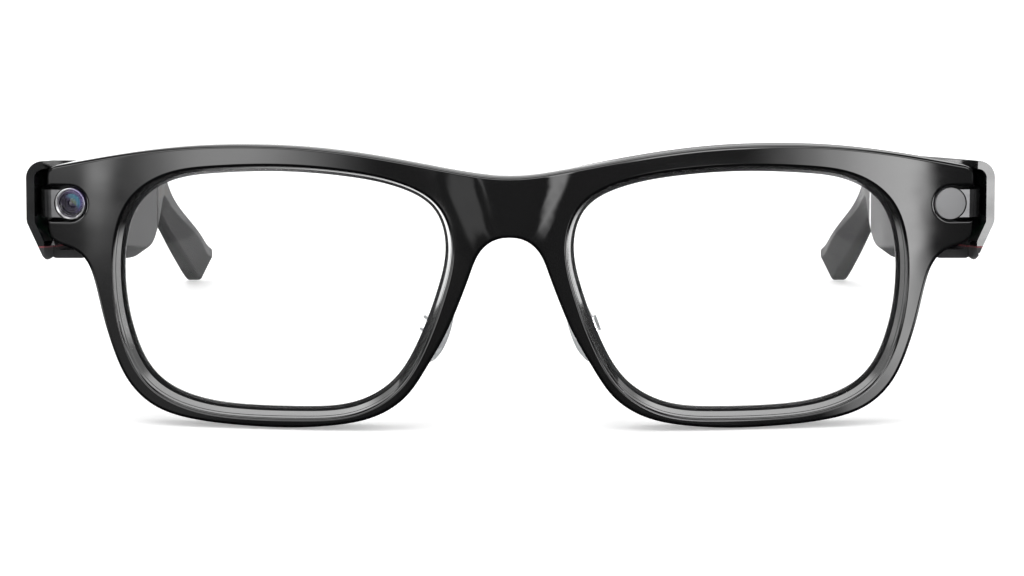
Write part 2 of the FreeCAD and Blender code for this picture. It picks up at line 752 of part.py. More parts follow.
def build_button_and_charging():
    """Right temple: a sliding side button over its switch, and flush charging contacts."""
    side = -1
    frame = temple_frame(side)
    (x_in, y0, z0), (x_out, y1, z1) = BUTTON_BASE
    split = (z0 + z1) / 2
    base = side_box(side, (x_in, y0, z0), (x_out, y1, z1), frame)
    pocket = side_box(side, (x_out - 0.7, y0 - 1, split), (x_out + 1, y1 + 1, z1 + 1), frame)
    node(cut(base, pocket), "side_button")
    ridges = [side_box(side, (x_out - 0.7, y0, split), (x_out - 0.3, y1, z1), frame)]
    for number in range(6):
        back = y0 + 0.3 + 1.5 * number
        ridges.append(side_box(side, (x_out - 0.35, back, split), (x_out, back + 0.9, z1), frame))
    node(fuse(*ridges), "side_button_ridges")
    node(side_box(side, (5.3, 3.0, -8.6), (5.95, 6.0, -6.4), frame), "button_switch")
    plate = side_box(side, *CHARGE_PLATE, frame)
    contacts = []
    holes = []
    for number in range(4):
        back = 22.4 + 3.05 * number
        holes.append(rod((-side * 3, back, -7.5), (side, 0, 0), 0.95, 4, frame))
        contacts.append(rod((-side * 2.15, back, -7.5), (side, 0, 0), 0.95, 1.05, frame))
    node(cut(plate, *holes), "charge_plate")
    node(group(*contacts), "charge_contacts")


# ---------------------------------------------------------------- build and write out
build_front_shells()
build_lenses()
build_flex_cable()
build_camera()
build_indicator()
build_straps()
build_frame_screws()
build_nose_pads()
for temple_side in (1, -1):
    build_temple(temple_side)
build_button_and_charging()
doc.recompute()

for item in doc.Objects:
    bad = [word for word in item.State if word in ("Invalid", "Error")]
    if bad:
        raise RuntimeError(f"{item.Name} ({item.Label}) failed: {bad}")

os.makedirs("parts", exist_ok=True)
for item in nodes:
    shape = item.Shape
    if shape.isNull() or not shape.isValid() or not shape.Solids:
        raise RuntimeError(f"{item.Label} has no valid solid")
    shape.exportStep(f"parts/{item.Label}.step")
    size = shape.BoundBox
    print(f"{item.Label:24s} solids {len(shape.Solids)} volume {shape.Volume:9.2f} "
          f"x {size.XMin:7.2f} {size.XMax:7.2f} y {size.YMin:7.2f} {size.YMax:7.2f} "
          f"z {size.ZMin:6.2f} {size.ZMax:6.2f}")
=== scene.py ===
"""The looks of the smart glasses, around their CAD model.

Outlines are in millimetres in the front's own plane: X to the wearer's left, Z up, and a depth
counted back from the polished face. The glasses' camera is on the wearer's right, at -X.
"""
import math

import bmesh
import bpy
import numpy as np
from mathutils import Matrix, Vector, kdtree
from mathutils.geometry import delaunay_2d_cdt


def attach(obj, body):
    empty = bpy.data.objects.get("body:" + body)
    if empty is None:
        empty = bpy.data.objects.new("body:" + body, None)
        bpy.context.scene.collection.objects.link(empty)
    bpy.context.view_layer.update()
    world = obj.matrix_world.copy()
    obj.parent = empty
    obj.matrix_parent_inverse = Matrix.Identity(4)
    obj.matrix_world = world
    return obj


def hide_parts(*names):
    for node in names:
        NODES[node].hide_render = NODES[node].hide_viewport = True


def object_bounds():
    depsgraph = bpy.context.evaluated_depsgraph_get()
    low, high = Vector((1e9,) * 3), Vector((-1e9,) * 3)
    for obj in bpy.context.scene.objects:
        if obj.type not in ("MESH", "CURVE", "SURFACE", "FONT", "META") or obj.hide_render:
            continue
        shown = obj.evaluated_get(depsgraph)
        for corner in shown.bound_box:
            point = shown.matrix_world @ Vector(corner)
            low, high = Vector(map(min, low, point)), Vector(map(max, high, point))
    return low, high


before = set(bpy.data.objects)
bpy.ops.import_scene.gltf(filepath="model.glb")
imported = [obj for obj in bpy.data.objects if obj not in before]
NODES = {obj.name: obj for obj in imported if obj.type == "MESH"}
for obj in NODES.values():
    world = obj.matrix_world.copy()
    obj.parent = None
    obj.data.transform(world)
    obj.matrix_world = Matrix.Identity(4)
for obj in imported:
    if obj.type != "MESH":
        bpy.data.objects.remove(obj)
cad_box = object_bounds()
MM = 0.001

# ---------------------------------------------------------------- the front's frame of reference
FACE_MIDDLE = Vector((0.0, -74.39, 22.1)) * MM
LEAN = math.radians(-2.3)
WRAP_RADIUS = 340.0
SHELL_DEPTH = 3.6
FULL_DEPTH = 5.6
FRONT = Matrix.Translation(FACE_MIDDLE) @ Matrix.Rotation(LEAN, 4, "X")


def sagitta(x, depth):
    """How far back the layer at a depth lies, at a distance from the middle."""
    return WRAP_RADIUS - math.sqrt((WRAP_RADIUS - depth) ** 2 - x * x)


def on_front(x, depth, z):
    """A point of the wrapped front, in metres in the row's frame."""
    return FRONT @ (Vector((x, sagitta(x, depth), z)) * MM)


# ---------------------------------------------------------------- outlines, left half
EAR_SPAN = 73.6
TOP_LINE = [(0, 18.05), (8, 18.9), (16, 20.4), (25, 21.85), (33, 22.65), (41, 22.9),
            (50, 22.6), (60, 21.45), (72.0, 19.3)]
EAR_CORNER = [TOP_LINE[-1], (72.6, 19.1), (73.15, 18.75), (73.5, 18.3), (EAR_SPAN, 17.7)]
LOWER_LINE = [(EAR_SPAN, 9.3), (72.9, 7.5), (71.2, 6.6), (69.0, 5.8), (67.2, 4.0), (66.1, 1.2),
              (64.9, -4.0), (63.2, -9.8), (60.6, -15.2), (56.6, -18.8), (50.5, -20.75),
              (43.0, -21.55), (35.0, -21.8), (27.5, -21.3), (21.1, -19.8), (16.4, -16.7),
              (12.9, -11.7), (10.2, -7.0), (7.95, -1.9), (6.1, 3.0), (4.6, 6.3), (2.5, 8.1),
              (0, 8.6)]
LENS_LINE = [(61.7, 1.5), (61.3, 7.5), (59.2, 13.0), (54.4, 16.6), (46.5, 18.1), (36.0, 18.45),
             (26.0, 17.75), (17.5, 16.0), (12.0, 12.7), (10.15, 7.0), (11.4, 0.0), (14.6, -8.5),
             (18.7, -14.8), (24.6, -18.2), (33.0, -19.1), (42.4, -18.95), (50.7, -17.7),
             (56.6, -14.5), (60.2, -8.0)]
DISC_SPAN, DISC_HEIGHT = 69.8, 13.3
SLOT_RADIUS = 2.72
STEP = 0.8
CORNER_STEP = 0.35
SAMPLES_PER_SPAN = 24


def resampled(points, step):
    """The same polyline with even steps."""
    points = np.array(points, float)
    run = np.concatenate([[0.0], np.cumsum(np.linalg.norm(np.diff(points, axis=0), axis=1))])
    count = max(2, int(round(run[-1] / step)) + 1)
    at = np.linspace(0.0, run[-1], count)
    return np.stack([np.interp(at, run, points[:, axis]) for axis in (0, 1)], axis=1)


def smooth_line(points, closed=False):
    """Even steps along a cubic spline through the points, natural at open ends."""
    points = np.array(points, float)
    if closed:
        points = np.vstack([points, points[:1]])
    steps = np.diff(points, axis=0)
    spans = np.linalg.norm(steps, axis=1)
    slopes = steps / spans[:, None]
    count = len(points)
    system = np.zeros((count, count))
    target = np.zeros((count, 2))
    for i in range(1, count - 1):
        system[i, i - 1:i + 2] = spans[i - 1], 2 * (spans[i - 1] + spans[i]), spans[i]
        target[i] = 6 * (slopes[i] - slopes[i - 1])
    system[0, 0] = system[-1, -1] = 1.0
    if closed:
        system[0, -1] = -1.0
        system[-1, [0, 1, -2, -1]] = 2 * spans[0], spans[0], spans[-1], 2 * spans[-1]
        target[-1] = 6 * (slopes[0] - slopes[-1])
    bend = np.linalg.solve(system, target)
    fine = []
    for i, span in enumerate(spans):
        for share in np.linspace(0, 1, SAMPLES_PER_SPAN, endpoint=False):
            ahead, behind = share * span, (1 - share) * span
            fine.append((bend[i] * behind ** 3 + bend[i + 1] * ahead ** 3) / (6 * span)
                        + (points[i] / span - bend[i] * span / 6) * behind
                        + (points[i + 1] / span - bend[i + 1] * span / 6) * ahead)
    fine.append(points[-1])
    even = resampled(fine, STEP)
    return even[:-1] if closed else even


def both_halves(half):
    """A half from midline to midline, continued over to the right."""
    other = half[::-1].copy()
    other[:, 0] *= -1
    return np.vstack([half, other[1:-1]])


def both_sides_of(points):
    """A half line that ends on the midline, continued by its mirror image."""
    return points + [(-x, z) for x, z in reversed(points[:-1])]


def outer_line(notched):
    """The outline of the front, with or without the slots that the hinge straps come out of."""
    top = smooth_line(both_sides_of(TOP_LINE[::-1]))
    lower = smooth_line(both_sides_of(LOWER_LINE))
    edge = [EAR_CORNER[-1]]
    if notched:
        edge += [(EAR_SPAN, DISC_HEIGHT + SLOT_RADIUS), (DISC_SPAN, DISC_HEIGHT + SLOT_RADIUS)]
        for turn in range(105, 270, 15):
            angle = math.radians(turn)
            edge.append((DISC_SPAN + SLOT_RADIUS * math.cos(angle),
                         DISC_HEIGHT + SLOT_RADIUS * math.sin(angle)))
        edge += [(DISC_SPAN, DISC_HEIGHT - SLOT_RADIUS), (EAR_SPAN, DISC_HEIGHT - SLOT_RADIUS)]
    edge.append(LOWER_LINE[0])
    pieces = [top[top[:, 0] >= 0][::-1], resampled(EAR_CORNER, CORNER_STEP)[1:-1]]
    for start, end in zip(edge, edge[1:]):
        pieces.append(resampled([start, end], STEP)[:-1])
    pieces.append(lower[lower[:, 0] >= 0])
    half = np.vstack(pieces)
    half[0, 0] = half[-1, 0] = 0.0
    return both_halves(half)


def normals_of(loop):
    """Unit normals of a closed loop, pointing away from its inside."""
    ahead = np.roll(loop, -1, axis=0) - np.roll(loop, 1, axis=0)
    ahead /= np.linalg.norm(ahead, axis=1)[:, None]
    out = np.stack([ahead[:, 1], -ahead[:, 0]], axis=1)
    area = 0.5 * np.sum(loop[:, 0] * np.roll(loop[:, 1], -1) - np.roll(loop[:, 0], -1) * loop[:, 1])
    return out if area > 0 else -out


# ---------------------------------------------------------------- mesh helpers
FACE_GRID, BACK_GRID = 1.5, 3.0         # spacing of the points inside a plate's face and its back


def finished(name, bm, body, look, replaced, flat_above):
    """Make an object of a mesh in metres, with its body, slot, material and the node it replaces.

    Edges that turn by more than flat_above degrees stay sharp.
    """
    bmesh.ops.remove_doubles(bm, verts=bm.verts, dist=2e-7)
    bmesh.ops.recalc_face_normals(bm, faces=bm.faces)
    mesh = bpy.data.meshes.new(name)
    bm.to_mesh(mesh)
    bm.free()
    piece = bpy.data.objects.new(name, mesh)
    bpy.context.scene.collection.objects.link(piece)
    mesh.materials.append(LOOKS[look])
    mesh.shade_smooth()
    mesh.set_sharp_from_angle(angle=math.radians(flat_above))
    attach(piece, body)
    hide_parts(replaced)


def quad_bands(bm, rings):
    """Bands of quads from each closed ring to the next."""
    for upper, lower in zip(rings, rings[1:]):
        for i in range(len(upper)):
            j = (i + 1) % len(upper)
            bm.faces.new((upper[i], upper[j], lower[j], lower[i]))


def arc_rows(radius, steps=5):
    """Rows (inset, depth) of a quarter round that turns from the face down to the side wall."""
    rows = []
    for step in range(steps + 1):
        angle = math.pi / 2 * step / steps
        rows.append((radius * (1 - math.sin(angle)), radius * (1 - math.cos(angle))))
    return rows


def plate(name, loops, rows_of, relief, look, replaced, grid=FACE_GRID):
    """A wrapped plate: its outer loop first, then its openings, each with rows (inset, depth).

    The first row meets the face and the last one the back; insets go into the material, and relief
    moves a point further in, or out of the face where it is negative.
    """
    bm = bmesh.new()
    rims = {0: [], -1: []}
    for number, loop in enumerate(loops):
        out = normals_of(loop) * (1 if number == 0 else -1)
        rings = []
        for inset, depth in rows_of[number]:
            ring = loop - out * inset
            rings.append([bm.verts.new(on_front(x, depth + relief(x, z, depth), z)) for x, z in ring])
        quad_bands(bm, rings)
        for end in rims:
            inset = rows_of[number][end][0]
            rims[end].append((loop - out * inset, rings[end]))
    for end, found in rims.items():
        depth = rows_of[0][end][1]
        fill_face(bm, found, depth, relief, grid if end == 0 else BACK_GRID)
    finished(name, bm, "front", look, replaced, flat_above=35)


def fill_face(bm, rims, depth, relief, grid):
    """Triangles between the rims, through a grid of inner points, all at one depth."""
    points, verts, edges = [], [], []
    tree = kdtree.KDTree(sum(len(line) for line, _ in rims))
    for line, ring in rims:
        first = len(points)
        for i, (x, z) in enumerate(line):
            tree.insert((x, z, 0), first + i)
            points.append(Vector((x, z)))
            verts.append(ring[i])
            edges.append((first + i, first + (i + 1) % len(line)))
    tree.balance()
    outer, holes = rims[0][0], [line for line, _ in rims[1:]]
    low, high = outer.min(axis=0), outer.max(axis=0)
    for row, z in enumerate(np.arange(low[1], high[1], grid * 0.87)):
        for x in np.arange(low[0] + (row % 2) * grid / 2, high[0], grid):
            if tree.find((x, z, 0))[2] < grid * 0.55 or not inside(x, z, outer):
                continue
            if any(inside(x, z, hole) for hole in holes):
                continue
            points.append(Vector((x, z)))
            verts.append(bm.verts.new(on_front(x, depth + relief(x, z, depth), z)))
    made = delaunay_2d_cdt(points, edges, [], 0, 1e-6)
    spots, faces, origins = made[0], made[2], made[3]
    for face in faces:
        middle = sum((spots[i] for i in face), Vector((0, 0))) / len(face)
        if not inside(middle.x, middle.y, outer):
            continue
        if any(inside(middle.x, middle.y, hole) for hole in holes):
            continue
        corners = [verts[origins[i][0]] for i in face]
        if len(set(corners)) == 3 and not bm.faces.get(corners):
            bm.faces.new(corners)


def inside(x, z, loop):
    """Whether a point lies inside a closed loop."""
    xs, zs = loop[:, 0], loop[:, 1]
    next_xs, next_zs = np.roll(xs, -1), np.roll(zs, -1)
    crosses = (zs > z) != (next_zs > z)
    share = (z - zs[crosses]) / (next_zs[crosses] - zs[crosses])
    reach = xs[crosses] + share * (next_xs[crosses] - xs[crosses])
    return np.count_nonzero(reach > x) % 2 == 1


def smoothstep(low, high, value):
    """0 below low and 1 above high, with a smooth rise between them."""
    share = min(1.0, max(0.0, (value - low) / (high - low)))
    return share * share * (3 - 2 * share)


# ---------------------------------------------------------------- material helpers
BAND_SPAN = 2.6             # the radius that a ramp of rings covers, in millimetres
UPPER_RIGHT = (0.77, 0, 0.64)


class Shade:
    """One procedural material, with short calls for its nodes."""

    def __init__(self, name):
        self.material = bpy.data.materials.new(name)
        self.material.use_nodes = True
        self.tree = self.material.node_tree
        self.shader = self.tree.nodes["Principled BSDF"]

    def add(self, kind, **values):
        made = self.tree.nodes.new(kind)
        for key, value in values.items():
            setattr(made, key, value)
        return made

    def join(self, source, target):
        self.tree.links.new(source, target)

    def set(self, **values):
        for key, value in values.items():
            self.shader.inputs[key.replace("_", " ")].default_value = value
        return self

    def place(self):
        return self.add("ShaderNodeTexCoord").outputs["Object"]

    def noise(self, scale, detail=3.0, stretch=(1, 1, 1)):
        mapping = self.add("ShaderNodeMapping")
        mapping.inputs["Scale"].default_value = stretch
        self.join(self.place(), mapping.inputs["Vector"])
        noise = self.add("ShaderNodeTexNoise")
        noise.inputs["Scale"].default_value = scale
        noise.inputs["Detail"].default_value = detail
        self.join(mapping.outputs["Vector"], noise.inputs["Vector"])
        return noise.outputs["Fac"]

    def spread(self, value, low, high, start=0.3, end=0.7):
        """A value from a texture, stretched to lie between two limits."""
        ranged = self.add("ShaderNodeMapRange")
        for socket, number in (("From Min", start), ("From Max", end), ("To Min", low), ("To Max", high)):
            ranged.inputs[socket].default_value = number
        self.join(value, ranged.inputs["Value"])
        return ranged.outputs["Result"]

    def tint(self, value, first, second):
        """A colour that runs from the first to the second as the value goes from 0 to 1."""
        mix = self.add("ShaderNodeMix", data_type="RGBA")
        mix.inputs["A"].default_value = (*first, 1)
        mix.inputs["B"].default_value = (*second, 1)
        self.join(value, mix.inputs["Factor"])
        return mix.outputs["Result"]

    def overlay(self, mask, paint):
        """Lay one more colour over the base colour, where the mask is 1."""
        base = self.shader.inputs["Base Color"]
        mix = self.add("ShaderNodeMix", data_type="RGBA")
        self.join(base.links[0].from_socket, mix.inputs["A"])
        mix.inputs["B"].default_value = (*paint, 1)
        self.join(mask, mix.inputs["Factor"])
        self.join(mix.outputs["Result"], base)
        return self

    def from_camera(self):
        """Where a point lies from the middle of the camera's face."""
        away = self.add("ShaderNodeVectorMath", operation="SUBTRACT")
        self.join(self.place(), away.inputs[0])
        away.inputs[1].default_value = disc_matrix(-1) @ Vector((0, 0, 0))
        return away.outputs["Vector"]

    def upper_right(self, low, high):
        """0 to 1 as a point lies further up and to the right of the camera's centre, in millimetres: the
        mask of the painted reflections and glint.
        """
        along = self.add("ShaderNodeVectorMath", operation="DOT_PRODUCT")
        self.join(self.from_camera(), along.inputs[0])
        along.inputs[1].default_value = UPPER_RIGHT
        return self.spread(along.outputs["Value"], 0, 1, low * MM, high * MM)

    def banded(self, stops):
        """Grey rings round the camera's axis, from stops (radius in millimetres, brightness)."""
        across = self.add("ShaderNodeVectorMath", operation="CROSS_PRODUCT")
        self.join(self.from_camera(), across.inputs[0])
        across.inputs[1].default_value = (disc_matrix(-1).to_3x3() @ Vector((0, 1, 0))).normalized()
        length = self.add("ShaderNodeVectorMath", operation="LENGTH")
        self.join(across.outputs["Vector"], length.inputs[0])
        ramp = self.add("ShaderNodeValToRGB")
        self.join(self.spread(length.outputs["Value"], 0, 1, 0, BAND_SPAN * MM), ramp.inputs["Fac"])
        bands = ramp.color_ramp.elements
        while len(bands) < len(stops):
            bands.new(0.5)
        for band, (radius, brightness) in zip(bands, stops):
            band.position = radius / BAND_SPAN
            band.color = (brightness, brightness, brightness * 1.02, 1)
        self.join(ramp.outputs["Color"], self.shader.inputs["Base Color"])
        return self

    def bump(self, height, strength, distance):
        made = self.add("ShaderNodeBump")
        made.inputs["Strength"].default_value = strength
        made.inputs["Distance"].default_value = distance
        self.join(height, made.inputs["Height"])
        self.join(made.outputs["Normal"], self.shader.inputs["Normal"])


def surfaced(name, first, second, roughness, grain, bump, stretch=(1, 1, 1), **fixed):
    """A material with mottled colour and roughness, and a fine surface of its own."""
    shade = Shade(name)
    broad = shade.noise(60, 4.0, stretch)
    fine = shade.noise(grain, 2.0, stretch)
    shade.join(shade.tint(shade.spread(broad, 0, 1), first, second), shade.shader.inputs["Base Color"])
    shade.join(shade.spread(broad, *roughness), shade.shader.inputs["Roughness"])
    shade.bump(fine, *bump)
    return shade.set(**fixed)


def wear(look, *names):
    """Give CAD nodes one material."""
    for name in names:
        mesh = NODES[name].data
        mesh.materials.clear()
        mesh.materials.append(LOOKS[look])


def both(stem):
    """The names of a pair of nodes."""
    return [f"{stem}_left", f"{stem}_right"]


# ---------------------------------------------------------------- the polished front
EDGE_ROUND = 0.47
FLAT_RIM = 0.07           # a level strip beside each rounded edge keeps the face's reflections straight
OPENING_GROWTH = 1.1
OPENING_ROUND = 0.45
SEAM_ROUND = 0.16
GROOVE_GROWTH = 1.55
LIP_START = 5.0
SADDLE_RISE = 0.34
SADDLE_FLANK = 6.5


def lens_line(side, growth):
    """The outline of a lens opening, grown outwards."""
    loop = smooth_line([(side * x, z) for x, z in LENS_LINE], closed=True)
    return loop + normals_of(loop) * growth


def saddle(x, z):
    """The bridge's middle stands a little proud, between soft diagonal flanks."""
    flank = 1.8 + 0.32 * (z - 10)
    return -SADDLE_RISE * (1 - smoothstep(flank, flank + SADDLE_FLANK, abs(x))) * smoothstep(2.0, 9.0, z)


def bridge_relief(x, z, depth):
    """The bridge's saddle, which fades out down the side walls."""
    return saddle(x, z) * (1 - smoothstep(1.0, 3.0, depth))


def no_relief(x, z, depth):
    """A plate that follows its outline's layer exactly."""
    return 0.0


def back_round(radius, steps):
    """Rows of the rounded edge at the very back."""
    return [(inset, FULL_DEPTH - depth) for inset, depth in reversed(arc_rows(radius, steps))]


def build_front_shell():
    """The front shell: a rounded face with a level rim, down to the seam between the shells."""
    outer_rows = [(EDGE_ROUND + FLAT_RIM, 0)] + arc_rows(EDGE_ROUND)
    outer_rows += [(0, SHELL_DEPTH - SEAM_ROUND), (SEAM_ROUND, SHELL_DEPTH)]
    # The opening narrows towards the lens, with a fine groove near its front. A negative inset is open air.
    opening_rows = [(OPENING_ROUND + FLAT_RIM, 0)] + arc_rows(OPENING_ROUND)
    opening_rows += [(-0.12, 1.05), (-0.02, 1.12), (-0.04, 1.22), (-0.16, 1.30),
                     (-0.55, SHELL_DEPTH - SEAM_ROUND), (-0.39, SHELL_DEPTH)]
    loops = [outer_line(notched=True)] + [lens_line(side, OPENING_GROWTH) for side in (1, -1)]
    plate("front_shell_polished", loops, [outer_rows, opening_rows, opening_rows], bridge_relief,
          "gloss_front", "front_frame")


def build_rear_shell():
    """The rear shell: the groove that holds the lens, and a stepped lip behind it, in a lighter black that
    paints light onto the shaded lip.
    """
    rear_rows = [(SEAM_ROUND, SHELL_DEPTH), (0, SHELL_DEPTH + SEAM_ROUND)] + back_round(0.45, 4)
    lip_rows = [(GROOVE_GROWTH, SHELL_DEPTH), (GROOVE_GROWTH, LIP_START), (0.34, LIP_START),
                (0.28, LIP_START + 0.1), (0.1, LIP_START + 0.1), (0, LIP_START + 0.2)] + back_round(0.25, 3)
    loops = [outer_line(notched=False)] + [lens_line(side, 0.0) for side in (1, -1)]
    plate("rear_shell_polished", loops, [rear_rows, lip_rows, lip_rows], no_relief,
          "gloss_rear_painted_light", "rear_frame", BACK_GRID)


# ---------------------------------------------------------------- camera and indicator
TURNED_SEGMENTS = 96
PUPIL_RADIUS = 0.74
COVER_RADIUS = 2.28


def disc_matrix(side):
    """On the face at the camera or the indicator, with Y straight into the front, in millimetres."""
    angle = side * math.asin(DISC_SPAN / WRAP_RADIUS)
    centre = Vector((side * DISC_SPAN, sagitta(DISC_SPAN, 0.0), DISC_HEIGHT)) * MM
    return FRONT @ Matrix.Translation(centre) @ Matrix.Rotation(angle, 4, "Z") @ Matrix.Scale(MM, 4)


def turned(name, side, rows, look, replaced):
    """A turned piece about the disc's axis, from rows (radius, depth)."""
    bm = bmesh.new()
    place = disc_matrix(side)
    rings = []
    for radius, depth in rows:
        ring = []
        for number in range(TURNED_SEGMENTS):
            angle = 2 * math.pi * number / TURNED_SEGMENTS
            point = Vector((radius * math.cos(angle), depth, radius * math.sin(angle)))
            ring.append(bm.verts.new(place @ point))
        rings.append(ring)
    quad_bands(bm, rings)
    finished(name, bm, "front", look, replaced, flat_above=30)


def dome_rows(radius, rim_depth, rise, steps=10):
    """Rows of a shallow dome, from its pole to its rim."""
    rows = []
    for step in range(steps + 1):
        share = step / steps
        rows.append((radius * share, rim_depth - rise * (1 - share * share)))
    return rows


def build_camera():
    """Stepped bezel rings, a ribbed baffle, the inner lens and a cover glass with painted reflections over
    them.
    """
    bezel = [(2.42, 2.25), (2.5, 2.15), (2.5, 0.14), (2.46, 0.05), (2.38, 0.02), (2.30, 0.08), (2.26, 0.20),
             (2.12, 0.30), (2.08, 0.24), (1.98, 0.22), (1.88, 0.30), (1.84, 0.42), (1.74, 0.46),
             (1.70, 0.40), (1.62, 0.40), (1.54, 0.50), (1.54, 2.25), (2.42, 2.25)]
    turned("camera_bezel_rings", -1, bezel, "bezel", "camera_bezel")
    baffle = [(1.52, 2.2), (1.52, 0.58)]
    for rib in range(4):
        radius, depth = 1.44 - 0.17 * rib, 0.56 + 0.13 * rib
        baffle += [(radius, depth), (radius - 0.03, depth + 0.10), (radius - 0.14, depth + 0.12)]
    baffle += [(0.76, 1.05), (0.76, 2.2), (1.52, 2.2)]
    turned("camera_baffle", -1, baffle, "barrel", "camera_barrel")
    pupil = dome_rows(PUPIL_RADIUS, 1.10, 0.25) + [(PUPIL_RADIUS, 1.7), (0.0, 1.7)]
    turned("camera_pupil_lens", -1, pupil, "pupil", "camera_lens")
    cover = dome_rows(COVER_RADIUS, 0.16, 0.10) + [(COVER_RADIUS, 0.19), (0.0, 0.19)]
    turned("camera_cover_with_painted_reflections", -1, cover, "painted_reflection_cover", "camera_cover_glass")


def build_indicator():
    """A flat diffusing disc with a rounded rim."""
    rows = [(0.0, 0.03), (2.36, 0.03), (2.46, 0.07), (2.5, 0.16), (2.5, 1.3), (0.0, 1.3)]
    turned("indicator_window", 1, rows, "indicator", "indicator_disc")


# ---------------------------------------------------------------- nose pads
PAD_LENGTH, PAD_WIDTH = 12.5, 5.98
PAD_SEGMENTS = 64
# Half of a section: share of the pad's half length or width, and height above its foot.
PAD_PROFILE = [(0.0, 2.4), (0.25, 2.38), (0.5, 2.27), (0.72, 2.06), (0.87, 1.76), (0.96, 1.36),
               (1.0, 0.95), (0.965, 0.55), (0.87, 0.22), (0.72, 0.05), (0.5, 0.12), (0.25, 0.3),
               (0.0, 0.34)]
LUG_LENGTH, LUG_WIDTH, LUG_HEIGHT, LUG_DROP = 1.9, 1.4, 1.9, 0.55
LUG_ROUND = 0.35


def pad_matrix(side):
    """X along the pad, Y its rocking axis, Z out of its face towards the nose, in millimetres."""
    along = Vector((side * 0.33, 0.12, -0.93)).normalized()
    face = Vector((-side * 0.78, 0.56, -0.22))
    face = (face - along * face.dot(along)).normalized()
    across = face.cross(along)
    turn = Matrix((along, across, face)).transposed().to_4x4()
    centre = Matrix.Translation(Vector((side * 12.4, 11.4, -6.8)) * MM)
    return FRONT @ centre @ turn @ Matrix.Scale(MM, 4)


def build_nose_pad(side, name):
    """A soft drop-shaped pad: a crowned face, a rolled rim and a lug round the pin."""
    bm = bmesh.new()
    place = pad_matrix(side)
    rings = []
    for share, height in PAD_PROFILE:
        ring = []
        for number in range(PAD_SEGMENTS):
            angle = 2 * math.pi * number / PAD_SEGMENTS
            wider_below = 1 + 0.10 * math.cos(angle)
            x = share * PAD_LENGTH / 2 * math.cos(angle)
            y = share * PAD_WIDTH / 2 * math.sin(angle) * wider_below
            ring.append(bm.verts.new(place @ Vector((x, y, height))))
        rings.append(ring)
    quad_bands(bm, rings)
    lug = bmesh.ops.create_cube(bm, size=1.0)["verts"]
    for vert in lug:
        x, y, z = vert.co
        vert.co = place @ Vector((x * LUG_LENGTH, y * LUG_WIDTH, z * LUG_HEIGHT - LUG_DROP))
    edges = list(dict.fromkeys(edge for vert in lug for edge in vert.link_edges))
    bmesh.ops.bevel(bm, geom=edges, offset=LUG_ROUND * MM, segments=3, affect="EDGES", profile=0.5)
    finished(f"nose_pad_soft_{name}", bm, f"nose_pad_{name}", "silicone",
             f"nose_pad_{name}", flat_above=50)


# ---------------------------------------------------------------- materials
def gloss(name, base, roughness, orange_peel):
    """Polished plastic: deep colour, very faint waviness and faint wiping marks in the roughness."""
    shade = Shade(name)
    cloud = shade.noise(35, 3.0)
    shade.join(shade.tint(shade.spread(cloud, 0, 1), base, tuple(c * 1.5 for c in base)),
               shade.shader.inputs["Base Color"])
    wiped = shade.noise(90, 5.0, (1, 1, 3))
    shade.join(shade.spread(wiped, *roughness), shade.shader.inputs["Roughness"])
    shade.bump(shade.noise(120, 1.0), orange_peel, 0.0004)
    return shade.set(IOR=1.5)


# Painted reflections on the cover: crescents and one glint, each an outer circle and inner circle (x, z,
# radius, softness), colour and weight.
PAINTED_REFLECTIONS = [
    ((0.55, 0.80, 1.55, 0.35), (-0.35, -0.35, 1.95, 0.20), (0.17, 0.13, 0.27), 0.20),
    ((0.85, 0.05, 1.20, 0.30), (0.05, -0.10, 1.45, 0.18), (0.01, 0.10, 0.36), 0.34),
    ((0.42, 0.45, 1.15, 0.25), (-0.25, -0.25, 1.25, 0.20), (0.0, 0.26, 0.27), 0.48),
    ((0.26, 0.30, 0.70, 0.16), (-0.14, -0.14, 0.80, 0.14), (0.02, 0.16, 0.05), 0.34),
    # A yellow-green painted glint near the centre.
    ((0.10, 0.12, 0.16, 0.14), None, (0.34, 0.40, 0.08), 0.5),
]


def painted_reflection_cover():
    """The camera's clear cover, with painted reflections: teal, green, blue and violet crescents and a
    yellow-green glint.
    """
    shade = Shade("camera_painted_reflections")
    centre = disc_matrix(-1) @ Vector((0, 0, 0))

    def circle(x, z, radius, soft):
        """1 inside a circle and 0 outside it, with a soft edge."""
        away = shade.add("ShaderNodeVectorMath", operation="DISTANCE")
        away.inputs[1].default_value = (centre.x + x * MM, centre.y, centre.z + z * MM)
        shade.join(shade.place(), away.inputs[0])
        return shade.spread(away.outputs["Value"], 1, 0, (radius - soft) * MM, (radius + soft) * MM)

    def combined(operation, first, second):
        """Two masks in one, by an operation of the Math node."""
        made = shade.add("ShaderNodeMath", operation=operation)
        shade.join(first, made.inputs[0])
        shade.join(second, made.inputs[1])
        return made.outputs["Value"]

    colour, cover = None, None
    for outer, inner, paint, weight in PAINTED_REFLECTIONS:
        mask = circle(*outer)
        if inner:
            mask = combined("MULTIPLY", mask, shade.spread(circle(*inner), 1, 0, 0, 1))
        mask = shade.spread(mask, 0, weight, 0, 1)
        cover = mask if cover is None else combined("MAXIMUM", cover, mask)
        mix = shade.add("ShaderNodeMix", data_type="RGBA")
        shade.join(mask, mix.inputs["Factor"])
        if colour is None:
            mix.inputs["A"].default_value = (*paint, 1)
        else:
            shade.join(colour, mix.inputs["A"])
        mix.inputs["B"].default_value = (*paint, 1)
        colour = mix.outputs["Result"]
    shade.join(colour, shade.shader.inputs["Base Color"])
    shade.join(shade.spread(cover, 0.03, 1.0, 0, 1), shade.shader.inputs["Alpha"])
    shade.bump(shade.noise(400, 1.0), 0.004, 0.0001)
    return shade.set(Roughness=0.04, Specular_IOR_Level=0.15)


